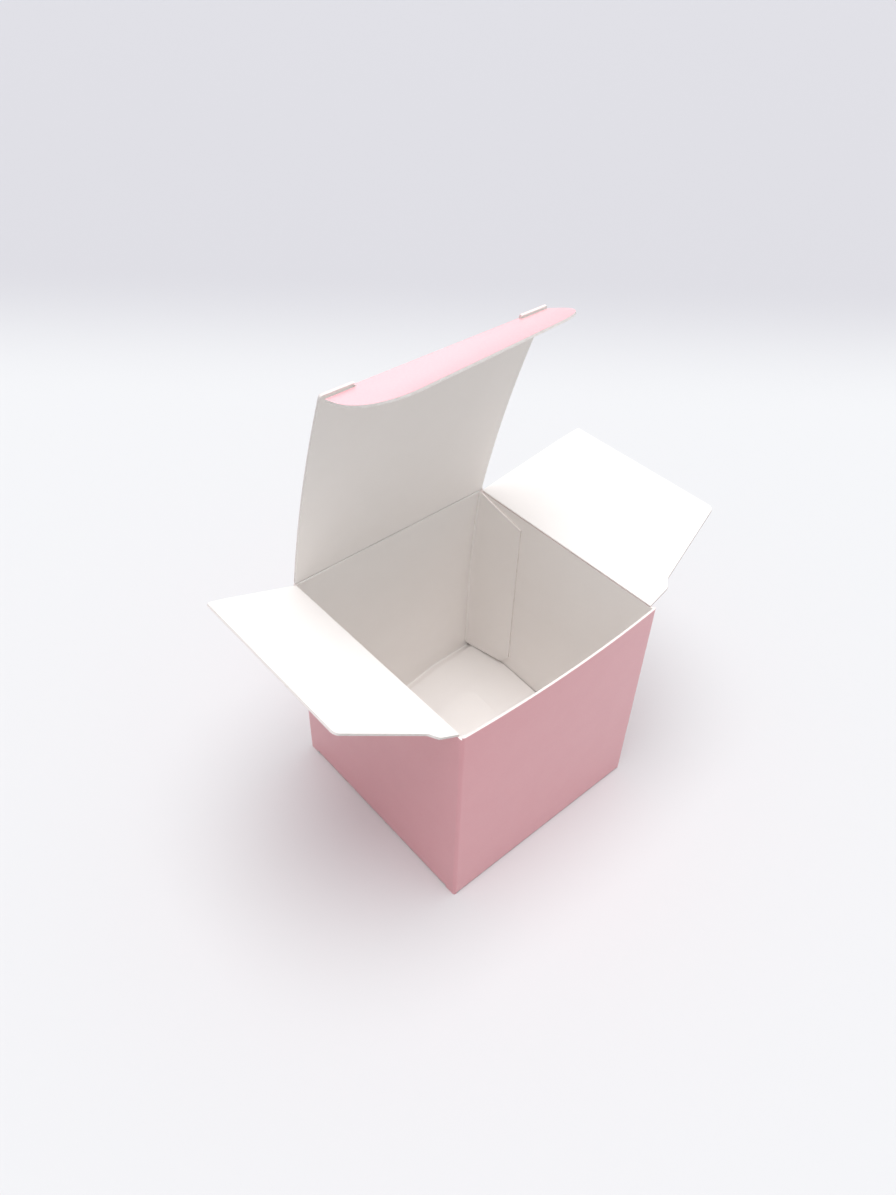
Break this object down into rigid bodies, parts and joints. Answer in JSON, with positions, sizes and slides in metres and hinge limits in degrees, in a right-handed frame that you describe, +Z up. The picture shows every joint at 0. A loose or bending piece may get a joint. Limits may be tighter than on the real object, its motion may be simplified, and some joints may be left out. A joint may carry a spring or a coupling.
{
  "type": "tuck-top folding carton",
  "caption": "Small cube-shaped folding carton with a hinged tuck-in lid, side dust flaps and an interlocked bottom, standing open.",
  "frame": {"origin": "middle of the base, on the underside of the front bottom panel", "axes": "+Z up out of the open top, -Y towards the front wall that the lid tucks into, +Y towards the lid's hinge, +X towards the wall with the glued seam"},
  "size_m": [0.0933, 0.0509, 0.1016],
  "materials": {
    "printed_card": "matt pink print outside, uncoated white board inside"
  },
  "bodies": {
    "carton": {"carton_body": "printed_card"},
    "lid": {"lid_panel": "printed_card"},
    "tuck": {"tuck_flap": "printed_card"},
    "left_flap": {"dust_flap_left": "printed_card"},
    "right_flap": {"dust_flap_right": "printed_card"}
  },
  "joints": [
    {"name": "lid_hinge", "type": "hinge", "parent": "carton", "child": "lid", "pos_m": [0, 0.02477, 0.05028], "axis": [-1, 0, 0], "range_deg": [-70.75, 101.5]},
    {"name": "tuck_crease", "type": "hinge", "parent": "lid", "child": "tuck", "pos_m": [0, 0.01123, 0.09734], "axis": [-1, 0, 0], "range_deg": [-37, 52]},
    {"name": "left_flap_hinge", "type": "hinge", "parent": "carton", "child": "left_flap", "pos_m": [-0.02477, 0, 0.04972], "axis": [0, -1, 0], "range_deg": [-149.6, 30.4]},
    {"name": "right_flap_hinge", "type": "hinge", "parent": "carton", "child": "right_flap", "pos_m": [0.02477, 0, 0.04972], "axis": [0, 1, 0], "range_deg": [-156.2, 23.8]}
  ]
}
